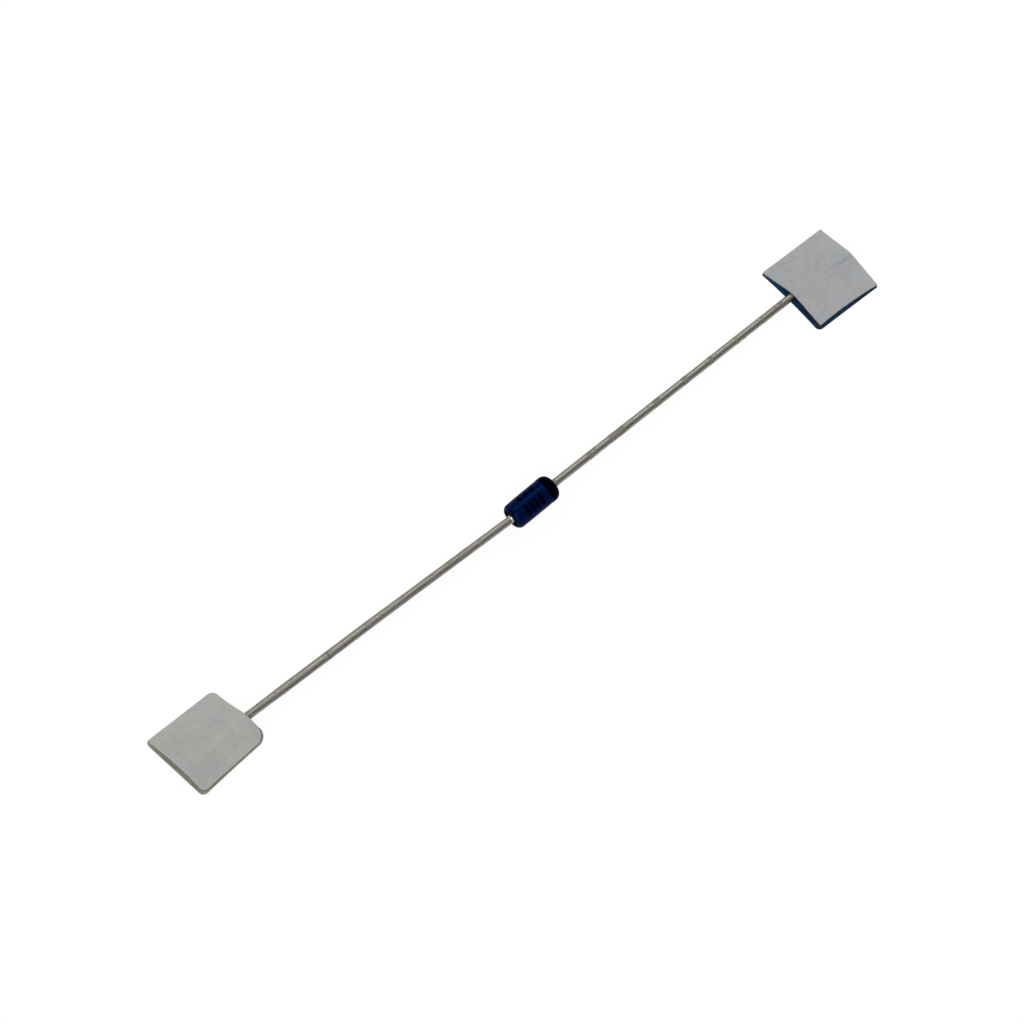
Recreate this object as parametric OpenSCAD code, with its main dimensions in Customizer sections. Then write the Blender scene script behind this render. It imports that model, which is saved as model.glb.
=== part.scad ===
// Axial-lead diode in a fused glass sleeve, cut from its taped strip with a square of
// carrier tape still on the end of each lead.
// X runs along the glass body towards the cathode and Z is up. The origin is on the
// resting surface, under the middle of the body.

/* [Glass body] */
// Length of the glass sleeve
body_len = 4.15; // [3.4:0.05:5.4]
// Outer diameter of the glass sleeve
body_d = 2.05; // [1.5:0.05:2.4]
// Radius of the rounded shoulder at each end
shoulder_r = 0.45; // [0.1:0.05:0.55]
// Depth of the dish in each end of the glass, on the axis
dish_depth = 0.22; // [0.1:0.02:0.3]
// Diameter of the dish at its rim
dish_d = 1.1; // [1:0.05:1.2]

/* [Junction] */
// Diameter of the metal plugs fused into the glass
plug_d = 0.76; // [0.68:0.02:0.96]
// How far each plug ends inside the glass
plug_setback = 0.2; // [0.1:0.02:0.3]
// Distance between the two plugs
cavity_len = 0.45; // [0.4:0.05:0.8]
// Side of the square silicon die
die_side = 0.4; // [0.25:0.05:0.42]
// Thickness of the silicon die
die_t = 0.25; // [0.15:0.05:0.3]
// Diameter of the silver contact bump
bump_d = 0.24; // [0.1:0.02:0.3]

/* [Printing] */
// Thickness of the printed ink
ink_t = 0.02; // [0.01:0.01:0.04]
// Width of the cathode band, with the shoulder that it covers
band_w = 0.9; // [0.6:0.05:1.2]
// Clear glass between the printed mark and the band or the far shoulder
mark_margin = 0.6; // [0.1:0.05:0.6]
// Gap between two bars of the printed mark
mark_gap = 0.14; // [0.06:0.02:0.16]

/* [Leads] */
// Diameter of the leads
lead_d = 0.62; // [0.44:0.01:0.66]
// How far the weld bead of a lead stays inside the rim of its plug
bead_inset = 0.03; // [0.01:0.01:0.08]
// Length of the weld bead
bead_len = 0.16; // [0.1:0.02:0.24]
// Straight stretch of each lead outside the glass, before its first bend
exit_len = 0.3; // [0.2:0.1:2]
// Radius of the bends in the leads, to the wire's centre line
bend_r = 1; // [0.8:0.1:4]
// Anode lead from its first bend to the bend at its middle
anode_inner_len = 11.95; // [8:0.05:16]
// Anode lead from the bend at its middle to the tape
anode_outer_len = 11; // [8:0.05:16]
// Sideways turn of the anode lead at the glass
anode_exit_turn = 3.9; // [0.2:0.1:8]
// Turn back of the anode lead at its middle
anode_mid_turn = 2.7; // [0.2:0.1:8]
// Cathode lead from its first bend to the bend at its middle
cathode_inner_len = 11.8; // [8:0.05:16]
// Cathode lead from the bend at its middle to the tape
cathode_outer_len = 11.55; // [8:0.05:16]
// Sideways turn of the cathode lead at the glass
cathode_exit_turn = 0.4; // [0.2:0.1:8]
// Further turn of the cathode lead at its middle
cathode_mid_turn = 1.4; // [0.2:0.1:8]

/* [Carrier tapes] */
// Thickness of one layer of tape
tape_t = 0.16; // [0.1:0.01:0.25]
// Width of the anode's tape along the lead
anode_tape_w = 6.15; // [5:0.05:7]
// Width of the cathode's tape along the lead
cathode_tape_w = 6.25; // [5:0.05:7]
// How far each lead ends inside the tape's outer edge
lead_inset = 0.3; // [0.1:0.1:1]
// Room between a lead and the tape layers around it
tape_gap = 0.02; // [0.01:0.01:0.1]
// Width of the flat land where the two layers stick together
land_w = 0.7; // [0.4:0.1:1.2]

/* [Anode tape cut] */
// Distance from the lead to the cut on its left, looking out from the body
anode_left = 1.8; // [1.5:0.05:4]
// Distance from the lead to the cut on its right
anode_right = 3.45; // [2:0.05:4]
// Angle by which the left cut spreads away from the lead
anode_left_splay = 4.2; // [-8:0.1:8]
// Angle by which the right cut spreads away from the lead
anode_right_splay = 0.4; // [-8:0.1:8]
// Slant of the tape's inner edge
anode_inner_slant = -11; // [-15:0.5:15]
// Slant of the tape's outer edge
anode_outer_slant = -7.5; // [-15:0.5:15]
// Radius of the tape's worn corners
anode_corner_r = 0.45; // [0.1:0.05:0.8]
// How far the top layer ends inside the outer edge of the bottom layer
anode_top_inset = 0.12; // [0:0.02:0.4]

/* [Cathode tape cut] */
// Distance from the lead to the cut on its left, looking out from the body
cathode_left = 3.1; // [2:0.02:4]
// Distance from the lead to the cut on its right
cathode_right = 3.3; // [2:0.05:4]
// Angle by which the left cut spreads away from the lead
cathode_left_splay = -0.5; // [-8:0.1:8]
// Angle by which the right cut of the bottom layer spreads away from the lead
cathode_right_splay = 0.8; // [-8:0.1:8]
// Angle by which the right cut of the top layer spreads away from the lead
cathode_top_splay = 2.3; // [-8:0.1:8]
// Slant of the bottom layer's inner edge
cathode_inner_slant = -3; // [-15:0.5:15]
// Slant of the top layer's inner edge
cathode_top_slant = -5.6; // [-15:0.1:15]
// Slant of the outer edge of both layers
cathode_outer_slant = 0; // [-15:0.5:15]
// Radius of the tape's corners
cathode_corner_r = 0.12; // [0.05:0.01:0.8]
// How far the top layer starts beyond the inner edge of the bottom layer
cathode_top_inset = 0.2; // [0:0.02:0.4]
// How far the top layer ends inside the right cut of the bottom layer
cathode_side_inset = 0.24; // [0:0.02:0.4]

/* [Hidden] */
$fn = 64;

body_r = body_d / 2;
// Height of the body's axis: the printed band touches the resting surface
axis_z = body_r + ink_t;
lead_r = lead_d / 2;
plug_end = body_len / 2 - plug_setback;
dish_r = (pow(dish_d / 2, 2) + pow(dish_depth, 2)) / (2 * dish_depth);

// The printed mark fills the length between its two margins
mark_start = -body_len / 2 + shoulder_r + mark_margin;
mark_len = body_len - shoulder_r - band_w - 2 * mark_margin;
// Its rows of bars: how many bars, then start angle and span about X, from +Y
mark_rows = [[3, 50, 21], [4, 97, 56]];

// From a lead's centre line to the tape layers around it
wrap_r = lead_r + tape_gap;
// How far a lead comes down from the body's axis to lie in its tape
lead_drop = axis_z - tape_t - wrap_r;
// Longer than any tape, to each side
tape_reach = 2 * max(anode_tape_w, cathode_tape_w);

// Bend directions: the side that a bend turns to, as a roll about the wire
TO_LEFT = 0;
TO_RIGHT = 180;
UP = 90;
DOWN = -90;

// Forward length of the sloping stretch: two straights and the bend between them
function slope_len(inner, outer, turn) = inner + bend_r * sin(turn) + outer * cos(turn);
// Slope that brings a stretch of that length down by lead_drop, with a bend at each end
function slope(length) =
    atan2(2 * bend_r, length)
    + asin((lead_drop - 2 * bend_r) / norm([length, 2 * bend_r]));

// Corner of a tape: its edge crosses the lead at edge_at and its cut lies at cut_at
function corner(edge_at, edge_slant, cut_at, cut_slant) =
    let (x = (edge_at + cut_at * tan(edge_slant)) / (1 - tan(edge_slant) * tan(cut_slant)))
    [x, cut_at + x * tan(cut_slant)];
// The four corners of a tape, counter-clockwise; left and right are [distance, splay]
function tape_corners(inner, outer, left, right) = [
    corner(inner[0], inner[1], -right[0], -right[1]),
    corner(outer[0], outer[1], -right[0], -right[1]),
    corner(outer[0], outer[1], left[0], left[1]),
    corner(inner[0], inner[1], left[0], left[1]),
];
function anode_corners(outer_at) = tape_corners(
    [0, anode_inner_slant], [outer_at, anode_outer_slant],
    [anode_left, anode_left_splay], [anode_right, anode_right_splay]);

// Slope of a tent whose foot stands at a distance from the lead
function tent_slope(foot) = 2 * atan(wrap_r / foot);
// Line over the wire at radius r, from the tent's right foot to its left one
function tent_line(r, left, right, steps = 10) = [
    [-right - (r - wrap_r) * tan(tent_slope(right) / 2), r - 2 * wrap_r],
    for (i = [0:steps])
        let (a = 90 + tent_slope(right) - (tent_slope(right) + tent_slope(left)) * i / steps)
        r * [cos(a), sin(a)],
    [left + (r - wrap_r) * tan(tent_slope(left) / 2), r - 2 * wrap_r],
];
// Section of the tented layer across the wire, with flat lands beyond both feet
function tent_section(left, right) =
    let (under = tent_line(wrap_r, left, right), over = tent_line(wrap_r + tape_t, left, right))
    [
        [-tape_reach, tape_t - wrap_r], each over, [tape_reach, tape_t - wrap_r],
        [tape_reach, -wrap_r], for (i = [len(under) - 1:-1:0]) under[i], [-tape_reach, -wrap_r],
    ];

function unit(v) = v / norm(v);
// Points of the arc that rounds the corner at p between its neighbours
function round_corner(before, p, after, r, steps = 6) =
    let (
        a = unit(before - p),
        b = unit(after - p),
        half = acos(a * b) / 2,
        centre = p + unit(a + b) * r / sin(half),
        from = atan2((p + a * r / tan(half) - centre)[1], (p + a * r / tan(half) - centre)[0]),
        sweep = 180 - 2 * half
    )
    [for (i = [0:steps]) centre + r * [cos(from + sweep * i / steps), sin(from + sweep * i / steps)]];

// Half-section of a rod with rounded ends: radius along X, axis along Y
module rod_section(radius, length, edge_r) {
    translate([0, -length / 2 + edge_r]) square([radius, length - 2 * edge_r]);
    translate([0, -length / 2]) square([radius - edge_r, length]);
    for (end = [-1, 1])
        intersection() {
            translate([radius - edge_r, end * (length / 2 - edge_r)]) circle(edge_r);
            translate([0, -length / 2]) square([radius, length]);
        }
}

// Turns a shape made about Z so that it lies along the body
module along_body() {
    translate([0, 0, axis_z]) rotate([0, 90, 0]) children();
}

module glass_sleeve() {
    color("#0b2a6b") along_body() rotate_extrude() difference() {
        rod_section(body_r, body_len, shoulder_r);
        translate([0, -body_len / 2]) square([plug_d / 2, body_len]);
        for (end = [-1, 1])
            translate([0, end * (body_len / 2 - dish_depth + dish_r)]) circle(dish_r);
    }
}

module cathode_band() {
    color("#0a0a0e") along_body() rotate_extrude() intersection() {
        difference() {
            rod_section(body_r + ink_t, body_len + 2 * ink_t, shoulder_r + ink_t);
            rod_section(body_r, body_len, shoulder_r);
        }
        translate([body_r - shoulder_r, body_len / 2 - band_w])
            square([shoulder_r + ink_t, band_w + ink_t]);
    }
}

// Row of bars of ink on the glass, all from one angle about X and over one span
module ink_row(count, start, span) {
    pitch = (mark_len + mark_gap) / count;
    for (i = [0:count - 1])
        along_body() translate([0, 0, mark_start + i * pitch]) rotate([0, 0, 90 + start])
            rotate_extrude(angle = span) translate([body_r, 0])
                square([ink_t, pitch - mark_gap]);
}

module type_marks() {
    color("#10141f") for (row = mark_rows) ink_row(row[0], row[1], row[2]);
}

module plug() {
    along_body() translate([0, 0, cavity_len / 2])
        cylinder(h = plug_end - cavity_len / 2, d = plug_d);
}

module cathode_plug() { color("#b06a48") plug(); }
module anode_plug() { color("#b06a48") mirror([1, 0, 0]) plug(); }

module silicon_die() {
    color("#3a3d44") along_body()
        translate([-die_side / 2, -die_side / 2, cavity_len / 2 - die_t])
            cube([die_side, die_side, die_t]);
}

module contact_bump() {
    color("#d5d5d0") along_body() translate([0, 0, -cavity_len / 2])
        cylinder(h = cavity_len - die_t, d = bump_d);
}

// The next three modules draw wire where $wire is true, and otherwise only place what follows.

// Straight wire along X; what follows continues from its end
module straight(length) {
    if ($wire) rotate([0, 90, 0]) cylinder(h = length, d = lead_d);
    translate([length, 0, 0]) children();
}

// Wire that starts along X and bends to one side; what follows continues from its end
module bend(angle, side) {
    rotate([side, 0, 0]) {
        if ($wire) translate([0, bend_r, 0]) rotate([0, 0, -90])
            rotate_extrude(angle = angle) translate([bend_r, 0]) circle(d = lead_d);
        translate([bend_r * sin(angle), bend_r * (1 - cos(angle)), 0])
            rotate([0, 0, angle]) rotate([-side, 0, 0]) children();
    }
}

// A lead from its plug to its end; what follows starts where the wire enters the tape
module lead_route(exit_turn, inner, mid_side, mid_turn, outer, in_tape) {
    down = slope(slope_len(inner, outer, mid_turn));
    // The turn at the middle of a sloping wire leaves it rolled by this much
    twist = asin(sin(down) * sin(mid_turn)) * (mid_side == TO_LEFT ? -1 : 1);
    translate([plug_end, 0, axis_z])
        straight(plug_setback + exit_len) bend(exit_turn, TO_RIGHT) bend(down, DOWN)
        straight(inner) bend(mid_turn, mid_side) straight(outer) bend(down, UP) {
            straight(in_tape);
            rotate([twist, 0, 0]) children();
        }
}

module anode_route() {
    rotate([0, 0, 180])
        lead_route(anode_exit_turn, anode_inner_len, TO_LEFT, anode_mid_turn,
            anode_outer_len, anode_tape_w - lead_inset) children();
}

module cathode_route() {
    lead_route(cathode_exit_turn, cathode_inner_len, TO_RIGHT, cathode_mid_turn,
        cathode_outer_len, cathode_tape_w - lead_inset) children();
}

module weld_bead() {
    translate([plug_end, 0, axis_z]) rotate([0, 90, 0])
        cylinder(h = bead_len, d1 = plug_d - 2 * bead_inset, d2 = lead_d);
}

module anode_lead() {
    color("#a9a594") {
        mirror([1, 0, 0]) weld_bead();
        anode_route($wire = true);
    }
}

module cathode_lead() {
    color("#a9a594") {
        weld_bead();
        cathode_route($wire = true);
    }
}

module tape_outline(corners, corner_r) {
    polygon([
        for (i = [0:3])
            each round_corner(corners[(i + 3) % 4], corners[i], corners[(i + 1) % 4], corner_r)
    ]);
}

// Layer that lies flat under the wire, with the wire's centre line along X
module flat_layer(corners, corner_r) {
    translate([0, 0, -wrap_r - tape_t]) linear_extrude(tape_t)
        tape_outline(corners, corner_r);
}

// Layer that is tented over the wire and stuck to the flat layer along both cuts
module tented_layer(corners, corner_r, left_foot, right_foot) {
    intersection() {
        translate([-tape_reach, 0, 0]) rotate([90, 0, 90]) linear_extrude(2 * tape_reach)
            polygon(tent_section(left_foot, right_foot));
        translate([0, 0, -wrap_r - tape_t]) linear_extrude(2 * wrap_r + 3 * tape_t)
            tape_outline(corners, corner_r);
    }
}

module anode_bottom_tape() {
    color("#a9a9a2") anode_route($wire = false)
        flat_layer(anode_corners(anode_tape_w), anode_corner_r);
}

module anode_top_tape() {
    color("#a9a9a2") anode_route($wire = false)
        tented_layer(anode_corners(anode_tape_w - anode_top_inset), anode_corner_r,
            anode_left - land_w, anode_right - land_w);
}

module cathode_bottom_tape() {
    color("#0e3358") cathode_route($wire = false)
        flat_layer(
            tape_corners([0, cathode_inner_slant], [cathode_tape_w, cathode_outer_slant],
                [cathode_left, cathode_left_splay], [cathode_right, cathode_right_splay]),
            cathode_corner_r);
}

module cathode_top_tape() {
    color("#a4a6a9") cathode_route($wire = false)
        tented_layer(
            tape_corners([cathode_top_inset, cathode_top_slant],
                [cathode_tape_w, cathode_outer_slant], [cathode_left, cathode_left_splay],
                [cathode_right - cathode_side_inset, cathode_top_splay]),
            cathode_corner_r, cathode_left - land_w,
            cathode_right - cathode_side_inset - land_w);
}

glass_sleeve();
anode_plug();
cathode_plug();
silicon_die();
contact_bump();
anode_lead();
cathode_lead();
cathode_band();
type_marks();
anode_bottom_tape();
anode_top_tape();
cathode_bottom_tape();
cathode_top_tape();
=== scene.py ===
"""Looks of a glass axial diode with its taped leads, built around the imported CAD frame.

Shapes are worked out in millimetres, in the row frame, and become metres in piece().
The stage and its lamps are in metres.
"""

import math

import bpy
from mathutils import Matrix, Vector, noise


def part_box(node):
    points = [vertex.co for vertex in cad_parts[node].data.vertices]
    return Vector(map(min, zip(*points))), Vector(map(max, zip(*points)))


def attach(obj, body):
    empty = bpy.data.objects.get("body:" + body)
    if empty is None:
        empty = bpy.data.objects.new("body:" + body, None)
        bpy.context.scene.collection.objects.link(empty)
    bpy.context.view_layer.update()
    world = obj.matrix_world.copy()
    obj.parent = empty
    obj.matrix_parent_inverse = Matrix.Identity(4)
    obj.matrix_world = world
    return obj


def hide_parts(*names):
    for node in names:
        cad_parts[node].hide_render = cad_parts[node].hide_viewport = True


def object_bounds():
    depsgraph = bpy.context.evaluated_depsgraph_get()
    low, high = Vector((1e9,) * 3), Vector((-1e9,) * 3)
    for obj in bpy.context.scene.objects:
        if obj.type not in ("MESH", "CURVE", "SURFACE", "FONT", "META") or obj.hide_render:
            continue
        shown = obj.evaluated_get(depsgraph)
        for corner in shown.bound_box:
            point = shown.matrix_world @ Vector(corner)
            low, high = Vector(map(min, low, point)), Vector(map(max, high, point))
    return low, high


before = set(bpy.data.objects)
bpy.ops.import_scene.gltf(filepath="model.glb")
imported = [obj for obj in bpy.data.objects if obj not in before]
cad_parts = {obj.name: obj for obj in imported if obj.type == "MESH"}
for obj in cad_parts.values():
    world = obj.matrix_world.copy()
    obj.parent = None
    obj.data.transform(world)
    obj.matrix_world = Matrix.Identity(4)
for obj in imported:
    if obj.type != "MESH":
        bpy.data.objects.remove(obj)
cad_low, cad_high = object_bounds()

MM = 0.001
UP = Vector((0, 0, 1))

# Camera: the direction it looks from, in degrees, its distance and what it looks at, in mm
CAMERA_AZIMUTH = -41.79
CAMERA_ELEVATION = 67.16
CAMERA_DISTANCE = 149.5
CAMERA_TARGET = (-1.274, 0.733, -0.148)
CAMERA_LENS = 72.09


# ---------------------------------------------------------------- shader expressions

class Value:
    """A number that a shader node gives. Arithmetic on it adds Math nodes."""

    def __init__(self, finish, socket):
        self.finish, self.socket = finish, socket

    def math(self, operation, a, b):
        """Value of a new Math node; a and b are Values or numbers."""
        return self.finish.add("ShaderNodeMath", {"operation": operation}, {0: a, 1: b})

    def __add__(self, other):
        return self.math("ADD", self, other)

    def __rsub__(self, other):
        return self.math("SUBTRACT", other, self)

    def __mul__(self, other):
        return self.math("MULTIPLY", self, other)

    __radd__, __rmul__ = __add__, __mul__


class Finish:
    """A material: a Principled shader, and the nodes that feed it."""

    def __init__(self, name, **uniform):
        self.material = bpy.data.materials.new(name)
        self.material.use_nodes = True
        self.tree = self.material.node_tree
        self.shader = self.tree.nodes["Principled BSDF"]
        self.out = self.tree.nodes["Material Output"]
        for socket, value in uniform.items():
            self.feed(socket.replace("_", " "), value)

    def add(self, kind, settings=None, inputs=None, output=0):
        """Adds a node with its settings, then its inputs, and gives one of its outputs."""
        node = self.tree.nodes.new(kind)
        for name, value in (settings or {}).items():
            setattr(node, name, value)
        for name, value in (inputs or {}).items():
            self.plug(node.inputs[name], value)
        return Value(self, node.outputs[output])

    def plug(self, socket, value):
        """Links a Value to a socket, or sets the socket to a number, a vector or a colour."""
        if isinstance(value, Value):
            self.tree.links.new(value.socket, socket)
        elif isinstance(value, tuple) and len(socket.default_value) == 4:
            socket.default_value = (*value, 1)
        else:
            socket.default_value = value

    def feed(self, socket, value):
        """Plugs a value into the shader's socket of that name."""
        self.plug(self.shader.inputs[socket], value)

    def place(self, stretch=(1, 1, 1)):
        """Position on the object in millimetres, stretched along its axes."""
        where = self.add("ShaderNodeTexCoord", output="Object")
        scale = tuple(s / MM for s in stretch)
        return self.add("ShaderNodeVectorMath", {"operation": "MULTIPLY"}, {0: where, 1: scale})

    def noise(self, per_mm, detail, stretch=(1, 1, 1)):
        """Noise from 0 to 1 with about that many grains a millimetre."""
        return self.add("ShaderNodeTexNoise", {}, {
            "Vector": self.place(stretch), "Scale": per_mm, "Detail": detail,
        })

    def step(self, value, low, high):
        """0 below low, 1 above high and smooth between."""
        return self.add("ShaderNodeMapRange", {"interpolation_type": "SMOOTHSTEP"}, {
            "Value": value, "From Min": low, "From Max": high,
        })

    def mix(self, factor, a, b):
        """Colour between a and b."""
        return self.add("ShaderNodeMix", {"data_type": "RGBA"}, {0: factor, 6: a, 7: b}, output=2)

    def mark(self, middle, size, soft):
        """1 within an ellipsoid at a place on the object, in mm, falling to 0 around it."""
        away = self.add("ShaderNodeVectorMath", {"operation": "SUBTRACT"}, {0: self.place(), 1: middle})
        scaled = self.add("ShaderNodeVectorMath", {"operation": "DIVIDE"}, {0: away, 1: size})
        length = self.add("ShaderNodeVectorMath", {"operation": "LENGTH"}, {0: scaled}, output="Value")
        return 1 - self.step(length, 1 - soft, 1 + soft)

    def bump(self, height, depth_mm):
        """Relief of that depth where the height goes from 0 to 1."""
        self.feed("Normal", self.add("ShaderNodeBump", {}, {
            "Height": height, "Distance": depth_mm * MM, "Strength": 1.0,
        }))


def paper(name, main, cool, marks=()):
    """Creped paper: soft mottling, fine fibres, faint wrinkles across the tape, and its marks.

    A mark is (place, size, softness, strength, colour).
    """
    f = Finish(name)
    mottle = f.step(f.noise(0.45, 3.0), 0.35, 0.65)
    fibre = f.noise(7.0, 4.0)
    wrinkle = f.noise(3.0, 3.0, stretch=(0.25, 1.6, 1))
    tone = f.mix(mottle, main, cool)
    tone = f.mix(f.step(fibre, 0.3, 0.7) * 0.14, tone, (0.16, 0.16, 0.155))
    blotch = f.step(f.noise(1.9, 2.0), 0.45, 0.65)
    tone = f.mix(blotch * 0.1, tone, (0.12, 0.17, 0.22))
    for middle, size, soft, strength, colour in marks:
        tone = f.mix(f.mark(middle, size, soft) * strength, tone, colour)
    f.feed("Base Color", tone)
    f.feed("Roughness", 0.82 + 0.12 * fibre)
    f.feed("Specular IOR Level", 0.2)
    f.bump(fibre * 0.5 + wrinkle * 0.5, 0.02)
    return f.material


def blue_paper(name, main, dark):
    """Blue crepe tape seen on its sticky side, with painted shade that darkens it towards -Y, where it
    lies in shadow.
    """
    f = Finish(name, Roughness=0.7, Specular_IOR_Level=0.2)
    crepe = f.noise(2.2, 3.0, stretch=(1, 0.4, 1))
    y = f.add("ShaderNodeSeparateXYZ", {}, {0: f.place()}, output=1)
    # Painted shade: the blue darkens towards -Y, in place of the shadow along that side
    shaded_side = 1 - f.step(y, -2.6, 0.4)
    blue = f.mix(f.step(crepe, 0.35, 0.7), main, f.mix(0.35, main, dark))
    f.feed("Base Color", f.mix(shaded_side * 0.8, blue, dark))
    f.bump(crepe, 0.03)
    return f.material


def cut_edge(name, main, dark):
    """Sheared edge of a tape: layered fibres, a little dirty."""
    f = Finish(name, Roughness=0.9)
    layers = f.noise(5.0, 3.0, stretch=(0.4, 0.4, 6))
    f.feed("Base Color", f.mix(f.step(layers, 0.35, 0.7), main, dark))
    f.feed("Specular IOR Level", 0.1)
    f.bump(layers, 0.01)
    return f.material


def adhesive(name, main, dark):
    """Sticky side of a tape: a film that is smooth in places and pulled in others."""
    f = Finish(name)
    pull = f.noise(1.6, 4.0, stretch=(1, 0.4, 1))
    f.feed("Base Color", f.mix(f.step(pull, 0.3, 0.75), main, dark))
    f.feed("Roughness", 0.35 + 0.3 * pull)
    f.feed("Specular IOR Level", 0.3)
    f.bump(pull, 0.02)
    return f.material


def tinned_wire(name, roughness, breaks, dark_rings=()):
    """Dull tin with drawn lines along the wire, pits, a little brown tarnish and dark rings.

    Breaks are how much rougher it is in the short patches that break up its shine.
    A dark ring is (x, half width, strength) and goes round the wire.
    """
    f = Finish(name, Metallic=1.0)
    drawn = f.noise(7.0, 2.0, stretch=(0.05, 1, 1))
    pits = f.noise(1.7, 0.0, stretch=(0.7, 1, 1))
    tarnish = f.step(f.noise(0.7, 4.0, stretch=(0.5, 1, 1)), 0.5, 0.8)
    patch = f.step(f.noise(1.5, 1.0, stretch=(1, 0.2, 0.2)), 0.54, 0.6)
    tin = f.mix(drawn, (0.215, 0.206, 0.178), (0.268, 0.259, 0.222))
    tin = f.mix(tarnish * 0.5, tin, (0.17, 0.155, 0.11))
    tin = f.mix(patch * 0.15, tin, (0.16, 0.15, 0.125))
    for x, half_width, strength in dark_rings:
        dark_ring = f.mark((x, 0, 0), (half_width, 9, 9), 0.5)
        tin = f.mix(dark_ring * strength, tin, (0.06, 0.055, 0.045))
    f.feed("Base Color", tin)
    f.feed("Roughness", roughness + 0.1 * pits + breaks * patch)
    f.bump(drawn * 0.1 + pits * 0.9, 0.012)
    return f.material


def weld_metal():
    """Fused metal where a lead meets its plug."""
    f = Finish("weld_metal", Metallic=1.0)
    flow = f.noise(6.0, 3.0)
    f.feed("Base Color", f.mix(flow, (0.36, 0.35, 0.32), (0.55, 0.54, 0.5)))
    f.feed("Roughness", 0.26 + 0.06 * flow)
    f.bump(flow, 0.002)
    return f.material


def blue_lacquer():
    """Deep blue coat on the glass, nearly black over its shoulders at the ends, which is painted shade
    where they turn away from the light.
    """
    f = Finish("blue_lacquer", Specular_IOR_Level=0.08, Specular_Tint=(0.2, 0.4, 0.55))
    across = f.add("ShaderNodeVectorMath", {"operation": "SUBTRACT"},
                   {0: f.place((0, 1, 1)), 1: (0, 0, AXIS_HEIGHT)})
    off_axis = f.add("ShaderNodeVectorMath", {"operation": "LENGTH"}, {0: across}, output="Value")
    # Painted shade: darker, duller and less metallic where the shoulder turns onto the end face
    past_shoulder = 1 - f.step(off_axis, END_FACE_RADIUS, END_FACE_RADIUS + 0.2)
    cloud = f.noise(1.3, 3.0)
    blue = f.mix(cloud, (0.0001, 0.0032, 0.027), (0.0001, 0.0056, 0.043))
    f.feed("Base Color", f.mix(past_shoulder, blue, (0.0001, 0.0008, 0.006)))
    f.feed("Metallic", 0.6 - 0.5 * past_shoulder)
    f.feed("Roughness", 0.13 + 0.05 * f.noise(5.0, 3.0) + 0.4 * past_shoulder)
    f.bump(f.noise(2.2, 1.0), 0.002)
    return f.material


def end_lacquer():
    """The coat in the dished ends, near-black as painted shade for ends that face away from the light; it
    takes no shine.
    """
    f = Finish("end_lacquer", Specular_IOR_Level=0.0)
    cloud = f.noise(6.0, 3.0)
    # Painted shade: the end faces, the dish and the bore are near-black
    f.feed("Base Color", f.mix(cloud, (0.0004, 0.0008, 0.0025), (0.0015, 0.003, 0.008)))
    f.feed("Roughness", 0.6 + 0.2 * cloud)
    f.bump(cloud, 0.004)
    return f.material


def black_ink(name, thick, thin):
    """Printed black, a little speckled, from its colour where it is thick to where it is thin."""
    f = Finish(name, Metallic=0.3, Specular_IOR_Level=0.01, Specular_Tint=(0.2, 0.4, 0.8))
    speckle = f.noise(12.0, 3.0)
    f.feed("Base Color", f.mix(f.step(speckle, 0.5, 0.75), thick, thin))
    f.feed("Roughness", 0.25 + 0.2 * speckle)
    f.bump(speckle, 0.003)
    return f.material


def copper_plug():
    """Copper-clad plug, brown where it met the hot glass."""
    f = Finish("copper_plug", Metallic=1.0)
    scale = f.noise(5.0, 4.0)
    f.feed("Base Color", f.mix(f.step(scale, 0.35, 0.65), (0.30, 0.13, 0.07), (0.05, 0.025, 0.015)))
    f.feed("Roughness", 0.35 + 0.3 * scale)
    f.bump(scale, 0.006)
    return f.material


def silicon():
    """Etched silicon die."""
    f = Finish("silicon", Metallic=0.6)
    etch = f.noise(14.0, 2.0)
    f.feed("Base Color", f.mix(etch, (0.045, 0.05, 0.06), (0.075, 0.08, 0.09)))
    f.feed("Roughness", 0.2 + 0.2 * etch)
    return f.material


def silver():
    """Plated silver bump."""
    f = Finish("silver", Metallic=1.0)
    grain = f.noise(20.0, 2.0)
    f.feed("Base Color", f.mix(grain, (0.7, 0.69, 0.65), (0.82, 0.81, 0.78)))
    f.feed("Roughness", 0.3 + 0.2 * grain)
    return f.material


# ---------------------------------------------------------------- mesh helpers

def piece(name, points, faces, materials, stands_for, face_material=None):
    """New piece from points in mm: it rides on the body and stands for CAD nodes.

    face_material(index) gives a face's place in materials; without it they all have the first.
    """
    mesh = bpy.data.meshes.new(name)
    mesh.from_pydata([Vector(p) * MM for p in points], [], faces)
    mesh.validate()
    for material in materials:
        mesh.materials.append(material)
    for face in mesh.polygons:
        face.use_smooth = True
        face.material_index = face_material(face.index) if face_material else 0
    mesh.update()
    thing = bpy.data.objects.new(name, mesh)
    bpy.context.scene.collection.objects.link(thing)
    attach(thing, "root")
    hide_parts(*stands_for)


def rings_to_faces(count, around, capped=False):
    """Quads between rings of points, then a cap on the first ring and one on the last where asked."""
    faces = []
    for i in range(count - 1):
        for j in range(around):
            k = (j + 1) % around
            faces.append((i * around + j, i * around + k, (i + 1) * around + k, (i + 1) * around + j))
    if capped:
        faces.append(tuple(reversed(range(around))))
        faces.append(tuple(range((count - 1) * around, count * around)))
    return faces


def ripple(x, y, z, size):
    """Smooth noise from -1 to 1 whose bumps are about that many mm across."""
    return noise.noise(Vector((x, y, z)) / size)


def smooth(x, low, high):
    """0 below low, 1 above high and smooth between."""
    t = min(1.0, max(0.0, (x - low) / (high - low)))
    return t * t * (3 - 2 * t)


def mix(a, b, t):
    """Number that is a where t is 0 and b where it is 1."""
    return a + (b - a) * t


# ---------------------------------------------------------------- glass body

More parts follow.
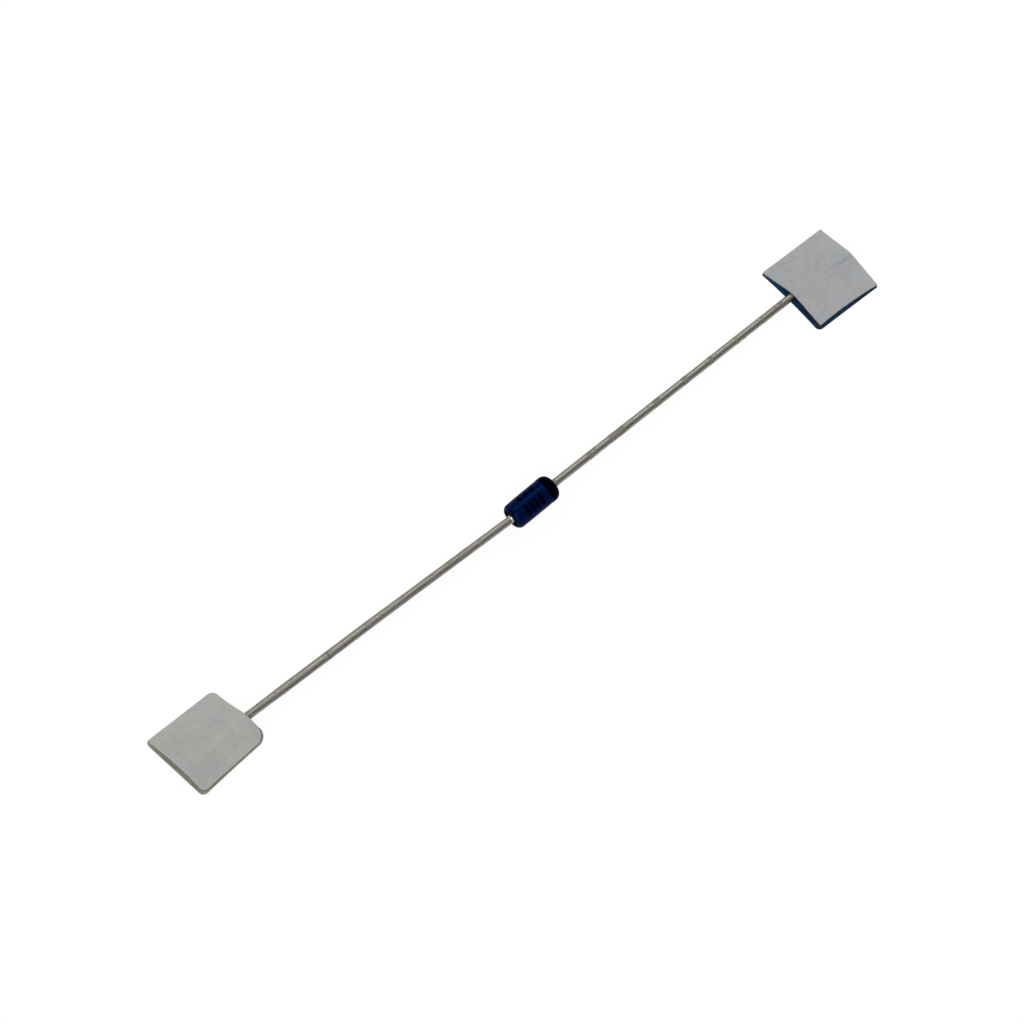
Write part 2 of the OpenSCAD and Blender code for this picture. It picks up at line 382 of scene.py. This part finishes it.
glass_low, glass_high = (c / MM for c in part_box("glass_sleeve"))
band_low, band_high = (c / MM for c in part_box("cathode_band"))
plug_low, plug_high = (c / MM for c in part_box("cathode_plug"))
GLASS_END = glass_high.x
GLASS_RADIUS = (glass_high.z - glass_low.z) / 2
AXIS_HEIGHT = (glass_high.z + glass_low.z) / 2
INK = band_high.z - glass_high.z
PLUG_FACE = plug_high.x
PLUG_RADIUS = (plug_high.z - plug_low.z) / 2
ANODE_SHOULDER, CATHODE_SHOULDER = 0.45, 0.58
END_FACE_RADIUS = GLASS_RADIUS - 0.3
DISH_RADIUS = 0.55
DISH_DEPTH = 0.22
# The dish runs on this far under the shoulder's curve, and the crease between them is this soft
DISH_OVERLAP, CREASE = 0.12, 0.03
# The sleeve's bore starts this far behind the plug's face and this far inside its radius
BORE_TUCK = (0.02, 0.01)
# The body draws in this much towards its shoulders, from this far out, and its glass has waves this high
CROWN, CROWN_START, GLASS_WAVE = 0.012, 0.9, 0.004
AROUND_GLASS = 128
END_STEPS, BARREL_STEPS = 14, 48

# How deep the underside of the ink lies in the glass
BAND_SUNK, BAR_SUNK = 0.05, 0.01
# The band's printed edge is ragged by this much in long and short waves, which fade out this far in
BAND_RAGGED, BAND_FADE = (0.02, 0.008), 0.3
# Rows of the type mark: bars in the row, where they start round the body and how far they go, in degrees
MARK_ROWS = ((3, 50, 21), (4, 97, 56))
MARK_GAP = 0.14
# A bar's edge is ragged by this much along the body, in mm, and round it, in radians
BAR_RAGGED = (0.012, 0.014)
BAR_STEPS, BAR_STEP = 14, 0.05


def glass_radius(x, angle):
    """Radius of the fused glass, which draws in softly towards its ends."""
    crown = CROWN * smooth(abs(x), CROWN_START, GLASS_END - CATHODE_SHOULDER)
    wave = GLASS_WAVE * (ripple(x, math.cos(angle), math.sin(angle), 0.9) - 1)
    return GLASS_RADIUS - crown + wave


def end_profile(round_off):
    """(distance in from the end, radius) from the plug's bore out over the shoulder."""
    behind, inside = BORE_TUCK
    points = [(GLASS_END - PLUG_FACE + behind, PLUG_RADIUS - inside)]
    edge = GLASS_RADIUS - round_off
    for i in range(END_STEPS + 1):
        radius = mix(PLUG_RADIUS, edge + DISH_OVERLAP, i / END_STEPS)
        dish = DISH_DEPTH * (1 - (radius / DISH_RADIUS) ** 2)
        shoulder = round_off - math.sqrt(round_off ** 2 - max(0.0, radius - edge) ** 2)
        soft = CREASE * math.exp(-abs(dish - shoulder) / CREASE)
        points.append((max(dish, shoulder) + soft, radius))
    start = math.asin(DISH_OVERLAP / round_off)
    for i in range(1, END_STEPS + 1):
        a = mix(start, math.pi / 2, i / END_STEPS)
        points.append((round_off * (1 - math.cos(a)), edge + round_off * math.sin(a)))
    return points


def glass_stations():
    """(x, radius) along the whole body, from one bore to the other."""
    left = [(-GLASS_END + inset, radius) for inset, radius in end_profile(ANODE_SHOULDER)]
    right = [(GLASS_END - inset, radius) for inset, radius in reversed(end_profile(CATHODE_SHOULDER))]
    start, end = left[-1][0], right[0][0]
    barrel = [(mix(start, end, i / BARREL_STEPS), GLASS_RADIUS) for i in range(1, BARREL_STEPS)]
    return left + barrel + right


def body_ring(x, radius, lift=0.0):
    """Ring of points around the body; the relief fades out towards the bore."""
    ring = []
    for j in range(AROUND_GLASS):
        a = math.tau * j / AROUND_GLASS
        relief = (glass_radius(x, a) - GLASS_RADIUS) * smooth(radius, PLUG_RADIUS, GLASS_RADIUS)
        r = radius + relief + lift
        ring.append((x, r * math.cos(a), AXIS_HEIGHT + r * math.sin(a)))
    return ring


def glass_sleeve(lacquer, in_the_dish):
    """Fused glass with its dished ends; the end faces and the bore have a finish of their own."""
    stations = glass_stations()
    points = [p for x, radius in stations for p in body_ring(x, radius)]
    faces = rings_to_faces(len(stations), AROUND_GLASS, capped=True)
    dished = [radius < END_FACE_RADIUS for x, radius in stations]
    piece("glass_sleeve_lacquered", points, faces, [lacquer, in_the_dish], ["glass_sleeve"],
          lambda i: int(i >= len(faces) - 2 or dished[i // AROUND_GLASS]))


def cathode_band(ink):
    """Ink ring over the far shoulder, with a slightly uneven printed edge."""
    edge = GLASS_RADIUS - CATHODE_SHOULDER
    start = band_low.x
    stations = [(x, r) for x, r in glass_stations() if x > start + 0.06 and r > edge]
    # The ink rises out of the glass at its printed edge, over three rings, and ends in it at the shoulder
    outer = [(start + into, GLASS_RADIUS) for into in (0.0, 0.02, 0.05)] + stations
    lifts = [-0.004, INK * 0.7] + [INK * 0.9] * (len(outer) - 3) + [-0.004]
    long_waves, short_waves = BAND_RAGGED
    points = []
    for (x, radius), lift in zip(outer, lifts):
        fade = smooth(start + BAND_FADE - x, 0.0, BAND_FADE)
        for px, py, pz in body_ring(x, radius, lift):
            ragged = long_waves * ripple(0, py, pz, 0.5) + short_waves * ripple(0, py, pz, 0.12)
            points.append((px + ragged * fade, py, pz))
    inner = [p for x, radius in (outer[-1], outer[0]) for p in body_ring(x, radius, -BAND_SUNK)]
    faces = rings_to_faces(len(outer) + 2, AROUND_GLASS)
    last = (len(outer) + 1) * AROUND_GLASS
    for j in range(AROUND_GLASS):
        k = (j + 1) % AROUND_GLASS
        faces.append((last + j, last + k, k, j))
    piece("cathode_band_print", points + inner, faces, [ink], ["cathode_band"])


def ink_bar(points, faces, x0, x1, a0, a1):
    """One printed bar from x0 to x1 and, round the glass, from a0 to a1: ragged, closed underneath."""
    along, across = BAR_STEPS, max(6, round((a1 - a0) / BAR_STEP))
    ragged_x, ragged_a = BAR_RAGGED
    base = len(points)
    for lift in (INK * 0.85, -BAR_SUNK):
        for i in range(along + 1):
            for j in range(across + 1):
                s, t = 2 * i / along - 1, 2 * j / across - 1
                round_off = 1 - 0.1 * (s * t) ** 4
                x = (x0 + x1) / 2 + (x1 - x0) / 2 * s * round_off
                a = (a0 + a1) / 2 + (a1 - a0) / 2 * t * round_off
                rim = max(abs(s), abs(t)) > 0.99
                x += ragged_x * ripple(x, a * 3, 1.7, 0.15) * rim
                a += ragged_a * ripple(x, a * 3, 6.2, 0.15) * rim
                r = glass_radius(x, a) + (lift * (0.4 if rim else 1) if lift > 0 else lift)
                points.append((x, r * math.cos(a), AXIS_HEIGHT + r * math.sin(a)))
    row, layer = across + 1, (along + 1) * (across + 1)
    for i in range(along):
        for j in range(across):
            a, b = base + i * row + j, base + (i + 1) * row + j
            faces.append((a, b, b + 1, a + 1))
            faces.append((a + layer, a + layer + 1, b + layer + 1, b + layer))
    rim = [i * row for i in range(along)] + [along * row + j for j in range(across)]
    rim += [i * row + across for i in range(along, 0, -1)] + [j for j in range(across, 0, -1)]
    for a, b in zip(rim, rim[1:] + rim[:1]):
        faces.append((base + a, base + a + layer, base + b + layer, base + b))


def type_marks(ink):
    """Plain bars where a type mark is printed: two rows of them."""
    low, high = (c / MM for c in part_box("type_marks"))
    points, faces = [], []
    for count, start, span in MARK_ROWS:
        pitch = (high.x - low.x + MARK_GAP) / count
        a0 = math.radians(start)
        for i in range(count):
            x0 = low.x + i * pitch
            ink_bar(points, faces, x0, x0 + pitch - MARK_GAP, a0, a0 + math.radians(span))
    piece("type_mark_bars", points, faces, [ink], ["type_marks"])


# ---------------------------------------------------------------- leads

AROUND_WIRE = 40
WIRE_STEP = 0.07
BEAD_LENGTH, BEAD_SLOPE, BEAD_STEP = 0.27, 0.26, 0.02
# Points of a CAD lead this close along X make one knot; the bead's own knots end this far out
KNOT_GAP, ROOT_LENGTH = 0.05, 0.3
# The cutter's mark on a lead's end: its length, and how much wider and flatter the wire is there
SHEARED, SHEAR_WIDER, SHEAR_FLATTER = 0.35, 0.1, 0.22
# How much flatter the anode lead was pressed, over its middle
PRESSED = 0.09
NICKS = 22
# Steps of the golden section, which spread the nicks along the wire and round it
NICK_SPREAD, NICK_TURN = 0.618034, 0.381966
# Larger nicks on the side that faces up: place along the wire, half length and depth
TOP_NICKS = ((3.1, 0.3, 0.009), (7.4, 0.16, 0.009), (13.2, 0.4, 0.009), (16.6, 0.09, 0.018))
TOP_NICKS_ANGLE = math.radians(100)
# Where the leads stray from straight: sideways at the middle, then sideways and up at the tape
SWAY = {"anode_lead": (-0.09, 0.17, 0.28), "cathode_lead": (-0.105, 0.05, 0.08)}


def wire_knots(node):
    """Centre points of a CAD lead where it bends and ends, from the body outwards, in mm."""
    spots = sorted((v.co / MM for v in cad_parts[node].data.vertices), key=lambda p: abs(p.x))
    groups = [[spots[0]]]
    for p in spots[1:]:
        if abs(p.x) - abs(groups[-1][-1].x) > KNOT_GAP:
            groups.append([])
        groups[-1].append(p)
    knots = []
    for group in groups:
        low = Vector(min(p[i] for p in group) for i in range(3))
        high = Vector(max(p[i] for p in group) for i in range(3))
        knots.append((low + high) / 2)
    return [k for i, k in enumerate(knots) if i == 0 or abs(k.x) > abs(knots[0].x) + ROOT_LENGTH]


WIRE_RADIUS = wire_knots("anode_lead")[-1].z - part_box("anode_lead")[0].z / MM


def swayed(node):
    """Knots of a lead with the slight bends that handling gave it."""
    knots = wire_knots(node)
    middle, side, rise = SWAY[node]
    knots[-3] = knots[-3] + Vector((0, middle, 0))
    knots[-2] = knots[-2] + Vector((0, side, rise))
    return knots


def along_wire(knots):
    """Points every BEAD_STEP over the bead, then every WIRE_STEP along the knots."""
    ahead = (knots[1] - knots[0]).normalized()
    points = [knots[0] + ahead * (BEAD_STEP * i) for i in range(round(BEAD_LENGTH / BEAD_STEP) + 2)]
    for a, b in zip([points[-1]] + knots[1:], knots[1:]):
        count = max(1, round((b - a).length / WIRE_STEP))
        points += [a.lerp(b, (i + 1) / count) for i in range(count)]
    return points


def bead(s):
    """How much wider the wire is at its root: a ring of weld metal that slopes to the wire."""
    slope = BEAD_SLOPE * max(0.0, BEAD_LENGTH - s)
    return min(slope, 0.9 * (PLUG_RADIUS - WIRE_RADIUS))


def wire_radius(s, angle, nicks):
    """Radius of the tinned wire: waves and fine grain in the tin, and nicks from handling."""
    y, z = math.cos(angle), math.sin(angle)
    r = WIRE_RADIUS + 0.005 * ripple(s * 0.6, y * 0.5, z * 0.5, 0.4) - 0.004
    r += 0.0003 * ripple(s, y, z + 4, 0.25)
    for place, direction, length, depth in nicks:
        if abs(s - place) < length:
            facing = math.cos(angle - direction)
            if facing > 0.6:
                r -= depth * (1 - abs(s - place) / length) * smooth(facing, 0.6, 0.95)
    return r


def nick_list(seed, length):
    """Nicks spread over a lead, of mixed sizes: place, direction, half length and depth."""
    nicks = []
    for i in range(NICKS):
        place = length * ((seed + i * NICK_SPREAD) % 1.0)
        direction = math.tau * ((seed * 3 + i * NICK_TURN) % 1.0)
        half_length = 0.12 + 0.3 * ((i * 0.27) % 1.0)
        depth = 0.006 + 0.008 * ((i * 0.73) % 1.0)
        nicks.append((place, direction, half_length, depth))
    return nicks + [(place, TOP_NICKS_ANGLE, half, depth) for place, half, depth in TOP_NICKS]


def pressed_flat(node, s):
    """How much wider and flatter the wire is that far along a lead from being pressed.

    It comes on between 9 and 15 mm from the anode's bead and goes between 20 and 23 mm.
    """
    if node != "anode_lead":
        return 0.0
    return PRESSED * smooth(s, 9, 15) * (1 - smooth(s, 20, 23))


def lead(node, seed, metal, weld):
    """Tinned wire with its ring of weld metal at the root, nicks, and a sheared end."""
    centres = along_wire(swayed(node))
    total = sum((b - a).length for a, b in zip(centres, centres[1:]))
    nicks = nick_list(seed, total)
    points, s = [], 0.0
    for i, centre in enumerate(centres):
        ahead = centres[min(i + 1, len(centres) - 1)] - centres[max(i - 1, 0)]
        ahead.normalize()
        side = UP.cross(ahead).normalized()
        over = ahead.cross(side)
        s += (centre - centres[i - 1]).length if i else 0
        shear = smooth(s, total - SHEARED, total)
        pressed = pressed_flat(node, s)
        wide, flat = 1 + SHEAR_WIDER * shear + pressed, 1 - SHEAR_FLATTER * shear - pressed
        for j in range(AROUND_WIRE):
            a = math.tau * j / AROUND_WIRE
            r = wire_radius(s, a, nicks) + bead(s)
            out = side * (r * math.cos(a) * wide) + over * (r * math.sin(a) * flat)
            points.append(centre + out)
    faces = rings_to_faces(len(centres), AROUND_WIRE, capped=True)
    weld_faces = round(BEAD_LENGTH / BEAD_STEP) * AROUND_WIRE
    piece(node + "_tinned", points, faces, [metal, weld], [node],
          lambda i: int(i < weld_faces))


# ---------------------------------------------------------------- carrier tapes

OUTLINE_STEP = 0.07
SHEET_RINGS = 34
# Rings down a sheet's cut edge, as shares of its thickness, and how far its two faces draw in there
EDGE_DROP = (0.0, 0.35, 0.65, 1.0)
EDGE_PULL = 0.012
WIRE_CLEARANCE = 0.02
CATHODE_SLANT = 0.33


class TapeFrame:
    """Frame of one carrier tape: u runs out along the lead, v to its left."""

    def __init__(self, lead_node):
        knots, strayed = wire_knots(lead_node), swayed(lead_node)
        self.start, end = knots[-2], knots[-1]
        self.u = Vector((end.x - self.start.x, end.y - self.start.y, 0)).normalized()
        self.v = UP.cross(self.u)
        self.wire = [(self.flat(k), k.z) for k in strayed[-2:]]

    def flat(self, p):
        """(u, v) of a point."""
        d = Vector((p.x - self.start.x, p.y - self.start.y, 0))
        return Vector((d.dot(self.u), d.dot(self.v)))

    def wire_at(self, u):
        """Sideways place of the wire, and the height of its top, that far along the tape."""
        (start, start_z), (end, end_z) = self.wire
        t = min(1.0, max(0.0, (u - start.x) / (end.x - start.x)))
        return mix(start.y, end.y, t), mix(start_z, end_z, t) + WIRE_RADIUS

    def world(self, u, v, z):
        """Point in the row frame, in mm."""
        p = self.start + self.u * u + self.v * v
        return Vector((p.x, p.y, z))


def hull(points):
    """Convex outline of flat points, counter-clockwise."""
    spots = sorted({(round(p.x, 3), round(p.y, 3)) for p in points})

    def half(order):
        chain = []
        for p in order:
            while len(chain) > 1 and cross(chain[-2], chain[-1], p) <= 0:
                chain.pop()
            chain.append(p)
        return chain[:-1]

    def cross(o, a, b):
        return (a[0] - o[0]) * (b[1] - o[1]) - (a[1] - o[1]) * (b[0] - o[0])

    return [Vector(p) for p in half(spots) + half(spots[::-1])]


def tape_corners(node, tape):
    """Corners of a CAD tape before rounding: inner right, outer right, outer left, inner left."""
    outline = hull([tape.flat(v.co / MM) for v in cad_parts[node].data.vertices])
    edges = list(zip(outline, outline[1:] + outline[:1]))
    order = sorted(range(len(edges)), key=lambda i: -(edges[i][1] - edges[i][0]).length)[:4]
    sides = [edges[i] for i in sorted(order)]
    corners = []
    for (a, b), (c, d) in zip(sides, sides[1:] + sides[:1]):
        e, g = b - a, d - c
        t = ((c - a).x * g.y - (c - a).y * g.x) / (e.x * g.y - e.y * g.x)
        corners.append(a + e * t)
    across = sorted(corners, key=lambda p: p.y)
    return sorted(across[:2], key=lambda p: p.x) + sorted(across[2:], key=lambda p: -p.x)


def rounded_outline(corners, radii, bows):
    """Outline round the corners with its own radius at each and a bow along each side."""
    count = len(corners)
    trims = []
    for i, corner in enumerate(corners):
        a = (corners[i - 1] - corner).normalized()
        b = (corners[(i + 1) % count] - corner).normalized()
        half = math.acos(max(-1, min(1, a.dot(b)))) / 2
        reach = radii[i] / math.tan(half)
        centre = corner + (a + b).normalized() * radii[i] / math.sin(half)
        trims.append((corner + a * reach, corner + b * reach, centre, math.pi - 2 * half))
    outline = []
    for i in range(count):
        first, last, centre, sweep = trims[i]
        start = math.atan2((first - centre).y, (first - centre).x)
        turns = max(4, round(radii[i] * sweep / OUTLINE_STEP))
        for k in range(turns + 1):
            a = start + sweep * k / turns
            outline.append(centre + radii[i] * Vector((math.cos(a), math.sin(a))))
        side = trims[(i + 1) % count][0] - last
        inward = Vector((-side.y, side.x)).normalized()
        steps = max(2, round(side.length / OUTLINE_STEP))
        for k in range(1, steps):
            t = k / steps
            outline.append(last + side * t + inward * (bows[i] * 4 * t * (1 - t)))
    return outline


def tape_sheet(name, tape, outline, top, thickness, materials, stands_for, fray, seed):
    """Sheet of tape: rings of points from its middle out to its edge, on both faces.

    top(u, v) is the height of its upper face. Its materials are those of its upper face, its cut
    edge and its lower face. The edge is frayed by about that much.
    """
    around = len(outline)
    middle = sum(outline, Vector((0, 0))) / around
    shares = [mix(0.03, 1.0, (i / SHEET_RINGS) ** 0.8) for i in range(SHEET_RINGS + 1)]
    points = []

    def ring(share, drop, pull=0.0):
        for p in outline:
            q = middle + (p - middle) * share
            if share > 0.98:
                ragged = 0.75 + 0.5 * ripple(q.x, q.y, seed, 0.3) + 0.25 * ripple(q.x, q.y, seed, 0.1)
                q = q - (p - middle).normalized() * (fray * ragged + pull)
            z = top(q.x, q.y) - drop * thickness
            points.append(tape.world(q.x, q.y, z))

    for share in shares:
        ring(share, EDGE_DROP[0], EDGE_PULL if share == 1.0 else 0.0)
    for drop in EDGE_DROP[1:-1]:
        ring(1.0, drop)
    for share in reversed(shares):
        ring(share, EDGE_DROP[-1], EDGE_PULL if share == 1.0 else 0.0)
    faces = rings_to_faces(len(points) // around, around, capped=True)
    top_count = (len(shares) - 1) * around
    edge_count = top_count + (len(EDGE_DROP) - 1) * around

    def kind(i):
        if i < top_count or i == len(faces) - 2:
            return 0
        return 1 if i < edge_count else 2

    piece(name, points, faces, materials, stands_for, kind)


def level(height):
    """Upper face of a sheet that lies flat."""
    return lambda u, v: height


def slanted(corners):
    """The inner edge cut at a slant: its left corner lies further along the lead."""
    return corners[:3] + [corners[3] + Vector((CATHODE_SLANT, 0))]


def worn(corners, amounts):
    """Corners drawn in towards the middle of the sheet."""
    middle = sum(corners, Vector((0, 0))) / 4
    return [c + (middle - c).normalized() * a for c, a in zip(corners, amounts)]


def tent(v, left, right, sharp, droop):
    """Height share of a sheet laid over the wire: 1 over it, 0 beyond its feet to left and right.

    The fold over the wire is as round as sharp, in mm, and the sides sag more with more droop.
    """
    foot = left if v > 0 else right
    reach = (math.sqrt(v * v + sharp * sharp) - sharp) / (math.sqrt(foot * foot + sharp * sharp) - sharp)
    return max(0.0, 1 - reach) ** droop


def anode_tapes(paper_face, edge, glue):
    """Off-white, both layers: the upper one lies over the wire, flares inwards and gapes outwards."""
    tape = TapeFrame("anode_lead")
    low, high = (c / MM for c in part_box("anode_bottom_tape"))
    thickness = high.z - low.z
    corners = worn(tape_corners("anode_bottom_tape", tape), (0.06, 0.02, 0.02, 0.03))
    radii = (0.55, 0.30, 0.42, 0.85)
    tape_sheet("anode_bottom_tape_paper", tape, rounded_outline(corners, radii, (0, 0, 0.02, 0)),
               level(thickness), thickness, [glue, edge, paper_face],
               ["anode_bottom_tape"], 0.012, 3.1)

    left, right = corners[2].y, -corners[0].y
    left_foot, right_foot = left - 0.55, right - 0.9
    outer_line = corners[2] - corners[1]
    flare_share, flare_length = 0.22, 1.5
    gape_height, gape_length = 0.98, 3.2

    def top(u, v):
        edge_u = corners[1].x + outer_line.x * (v - corners[1].y) / outer_line.y
        lift = smooth(u, edge_u - gape_length, edge_u)
        wire_v, wire_top = tape.wire_at(u)
        w = v - wire_v
        flare = 1 + flare_share * (1 - smooth(u, 0.0, flare_length))
        over_wire = wire_top + WIRE_CLEARANCE - thickness
        laid = flare * over_wire * tent(w, left_foot, right_foot, 0.35, 1.5)
        foot = left if w > 0 else right
        gape = gape_height * max(0.0, 1 - (w / (foot + 0.05)) ** 2) ** 1.2
        h = mix(laid, max(gape, laid * 0.9), lift)
        wave = 0.012 * ripple(u, v, 0.5, 1.6)
        return 2 * thickness + h + wave * smooth(h, 0.0, 0.3)

    upper = worn(tape_corners("anode_top_tape", tape), (0.06, 0.1, 0.16, 0.16))
    tape_sheet("anode_top_tape_paper", tape, rounded_outline(upper, radii, (0, 0.03, 0.02, 0)), top,
               thickness, [paper_face, edge, glue], ["anode_top_tape"], 0.012, 8.4)


def cathode_tapes(paper_face, edge, blue_face, blue_edge, blue_glue, glue):
    """White over blue, both cut at a slant: the fold over the wire sharpens towards the outer edge."""
    tape = TapeFrame("cathode_lead")
    low, high = (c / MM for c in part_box("cathode_bottom_tape"))
    thickness = high.z - low.z
    corners = slanted(tape_corners("cathode_bottom_tape", tape))
    tape_sheet("cathode_bottom_tape_blue", tape,
               rounded_outline(corners, (0.4, 0.12, 0.1, 0.1), (0, 0, 0, 0.07)),
               level(thickness), thickness, [blue_glue, blue_edge, blue_face],
               ["cathode_bottom_tape"], 0.012, 5.7)

    upper = slanted(tape_corners("cathode_top_tape", tape))
    left_foot, right_foot = upper[2].y - 0.1, -upper[0].y - 0.1
    width = max(c.x for c in upper)
    round_fold, sharp_fold, fold_drift = 0.5, 0.05, 0.15

    def top(u, v):
        wire_v, wire_top = tape.wire_at(u)
        sharp = mix(round_fold, sharp_fold, smooth(u, 1.5, width))
        w = v - wire_v + fold_drift * smooth(u, 2.0, width)
        over_wire = wire_top + WIRE_CLEARANCE - thickness
        laid = over_wire * tent(w, left_foot, right_foot, sharp, 1.04)
        wave = 0.01 * ripple(u, v, 7.5, 1.4)
        return 2 * thickness + laid + wave * smooth(laid, 0.0, 0.3)

    tape_sheet("cathode_top_tape_paper", tape,
               rounded_outline(upper, (0.1, 0.08, 0.08, 0.08), (0.1, 0, 0, 0)), top,
               thickness, [paper_face, edge, glue], ["cathode_top_tape"], 0.024, 2.2)


# ---------------------------------------------------------------- stage

FLOOR_HALF, WALL_TOP = 2.1, 0.455
FLOOR_GAP = 0.02 * MM


def staged(name, points, faces, material):
    """Part of the set, from points in metres."""
    mesh = bpy.data.meshes.new(name)
    mesh.from_pydata(points, [], faces)
    mesh.materials.append(material)
    thing = bpy.data.objects.new(name, mesh)
    bpy.context.scene.collection.objects.link(thing)
    return thing


def floor():
    """Pale floor, with walls round it that show behind it in low views and light nothing."""
    white = show_white()
    z = cad_low.z - FLOOR_GAP
    corners = [(x * FLOOR_HALF, y * FLOOR_HALF) for x, y in ((-1, -1), (1, -1), (1, 1), (-1, 1))]
    low, high = [(x, y, z) for x, y in corners], [(x, y, WALL_TOP) for x, y in corners]
    sides = [(i, (i + 1) % 4, (i + 1) % 4 + 4, i + 4) for i in range(4)]
    staged("floor", low, [(0, 1, 2, 3)], white)
    walls = staged("walls", low + high, sides, white)
    walls.visible_diffuse = walls.visible_shadow = False


def show_white():
    """Near-white that shows white and keeps a soft shadow."""
    f = Finish("floor", Base_Color=(0.97, 0.97, 0.97), Roughness=0.9)
    f.feed("Specular IOR Level", 0.0)
    rays = f.add("ShaderNodeLightPath", output="Is Camera Ray")
    rays = rays + f.add("ShaderNodeLightPath", output="Is Glossy Ray")
    rays = rays + f.add("ShaderNodeLightPath", output="Is Transmission Ray")
    white = f.add("ShaderNodeEmission", {}, {"Color": (1, 1, 1), "Strength": 1.0})
    lit = Value(f, f.shader.outputs[0])
    shown = f.add("ShaderNodeMixShader", {}, {0: rays * 0.93, 1: lit, 2: white})
    f.plug(f.out.inputs["Surface"], shown)
    return f.material


def lamp(name, direction, distance, across, along, radiance):
    """Soft lamp: a panel that faces the body. Its radiance is how bright it shows in a mirror.

    Across is its size on the side nearest to X, and along is its size on the other.
    """
    data = bpy.data.lights.new(name, "AREA")
    data.shape = "RECTANGLE"
    data.size, data.size_y = across, along
    data.energy = radiance * math.pi * across * along
    thing = bpy.data.objects.new(name, data)
    bpy.context.scene.collection.objects.link(thing)
    towards = Vector(direction).normalized()
    side = (Vector((1, 0, 0)) - towards * towards.x).normalized()
    thing.location = towards * distance
    thing.rotation_mode = "QUATERNION"
    thing.rotation_quaternion = Matrix((side, towards.cross(side), towards)).transposed().to_quaternion()
    thing.visible_camera = False


def lights():
    """Even grey surroundings, a broad ceiling, a strip along the body, a fill and a small glint."""
    world = bpy.data.worlds.new("world")
    world.use_nodes = True
    world.node_tree.nodes["Background"].inputs["Color"].default_value = (0.32, 0.32, 0.32, 1)
    bpy.context.scene.world = world
    lamp("ceiling", (0.1, 0.446, 0.895), 1.0, 3.2, 3.2, 0.52)
    lamp("strip", (0.2586, 0.4535, 0.853), 0.9, 0.6, 0.17, 3.2)
    lamp("fill", (-0.65, -0.45, 0.6), 1.0, 0.85, 0.85, 2.3)
    lamp("glint", (-0.239, -0.108, 0.964), 0.9, 0.09, 0.09, 28.0)


def camera():
    """Camera that looks down on the part from the named direction."""
    azimuth, elevation = math.radians(CAMERA_AZIMUTH), math.radians(CAMERA_ELEVATION)
    back = Vector((math.sin(azimuth) * math.cos(elevation),
                   -math.cos(azimuth) * math.cos(elevation), math.sin(elevation)))
    data = bpy.data.cameras.new("camera")
    data.lens, data.sensor_width = CAMERA_LENS, 36
    data.clip_start, data.clip_end = 0.005, 50
    thing = bpy.data.objects.new("camera", data)
    bpy.context.scene.collection.objects.link(thing)
    thing.location = (Vector(CAMERA_TARGET) + back * CAMERA_DISTANCE) * MM
    thing.rotation_mode = "QUATERNION"
    thing.rotation_quaternion = back.to_track_quat("Z", "Y")
    bpy.context.scene.camera = thing


# ---------------------------------------------------------------- build

def paint_cad_nodes():
    """The sealed inner pieces keep their CAD shape and get their finish."""
    finishes = {
        "anode_plug": copper_plug(), "cathode_plug": copper_plug(),
        "silicon_die": silicon(), "contact_bump": silver(),
    }
    for node, material in finishes.items():
        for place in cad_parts[node].material_slots:
            place.material = material


glass_sleeve(blue_lacquer(), end_lacquer())
cathode_band(black_ink("band_ink", (0.0001, 0.0002, 0.0014), (0.0001, 0.0005, 0.004)))
type_marks(black_ink("mark_ink", (0.0001, 0.0004, 0.0035), (0.0001, 0.0012, 0.011)))
paint_cad_nodes()
weld = weld_metal()
dark_rings = [(-18.47, 0.045, 0.7), (-17.1, 0.03, 0.4)]
lead("anode_lead", 0.13, tinned_wire("scuffed_tin", 0.23, 0.12, dark_rings), weld)
lead("cathode_lead", 0.57, tinned_wire("drawn_tin", 0.13, 0.42), weld)
off_white = paper("off_white_paper", (0.375, 0.372, 0.345), (0.355, 0.35, 0.345))
# Marks on the cathode's white tape: a line of painted shade along a crease beside the wire, broader
# painted shade beside it, and a brown speck
crease_shade_and_speck = [
    ((31.5, -1.06, 0.9), (0.6, 0.12, 0.6), 0.9, 0.12, (0.08, 0.09, 0.1)),
    ((31.0, -0.94, 0.9), (0.5, 0.10, 0.6), 0.9, 0.22, (0.08, 0.09, 0.1)),
    ((30.3, -0.76, 0.9), (0.6, 0.12, 0.6), 0.9, 0.10, (0.08, 0.09, 0.1)),
    ((31.3, -1.3, 0.9), (1.6, 0.6, 0.6), 0.9, 0.08, (0.12, 0.14, 0.15)),
    ((29.034, -0.081, 0.85), (0.07, 0.05, 0.3), 0.6, 0.6, (0.06, 0.045, 0.035)),
]
cool_white = paper("cool_white_paper", (0.352, 0.36, 0.368), (0.335, 0.342, 0.35), crease_shade_and_speck)
paper_edge = cut_edge("paper_edge", (0.33, 0.32, 0.265), (0.22, 0.21, 0.165))
glue = adhesive("paper_adhesive", (0.28, 0.268, 0.212), (0.2, 0.188, 0.142))
blue_face = paper("blue_paper_back", (0.003, 0.045, 0.13), (0.002, 0.03, 0.09))
blue_edge = cut_edge("blue_edge", (0.002, 0.014, 0.04), (0.001, 0.006, 0.018))
blue_glue = blue_paper("blue_paper_sticky", (0.002, 0.048, 0.125), (0.001, 0.009, 0.03))
anode_tapes(off_white, paper_edge, glue)
cathode_tapes(cool_white, paper_edge, blue_face, blue_edge, blue_glue, glue)
floor()
lights()
camera()
bpy.context.scene.view_settings.view_transform = "Standard"
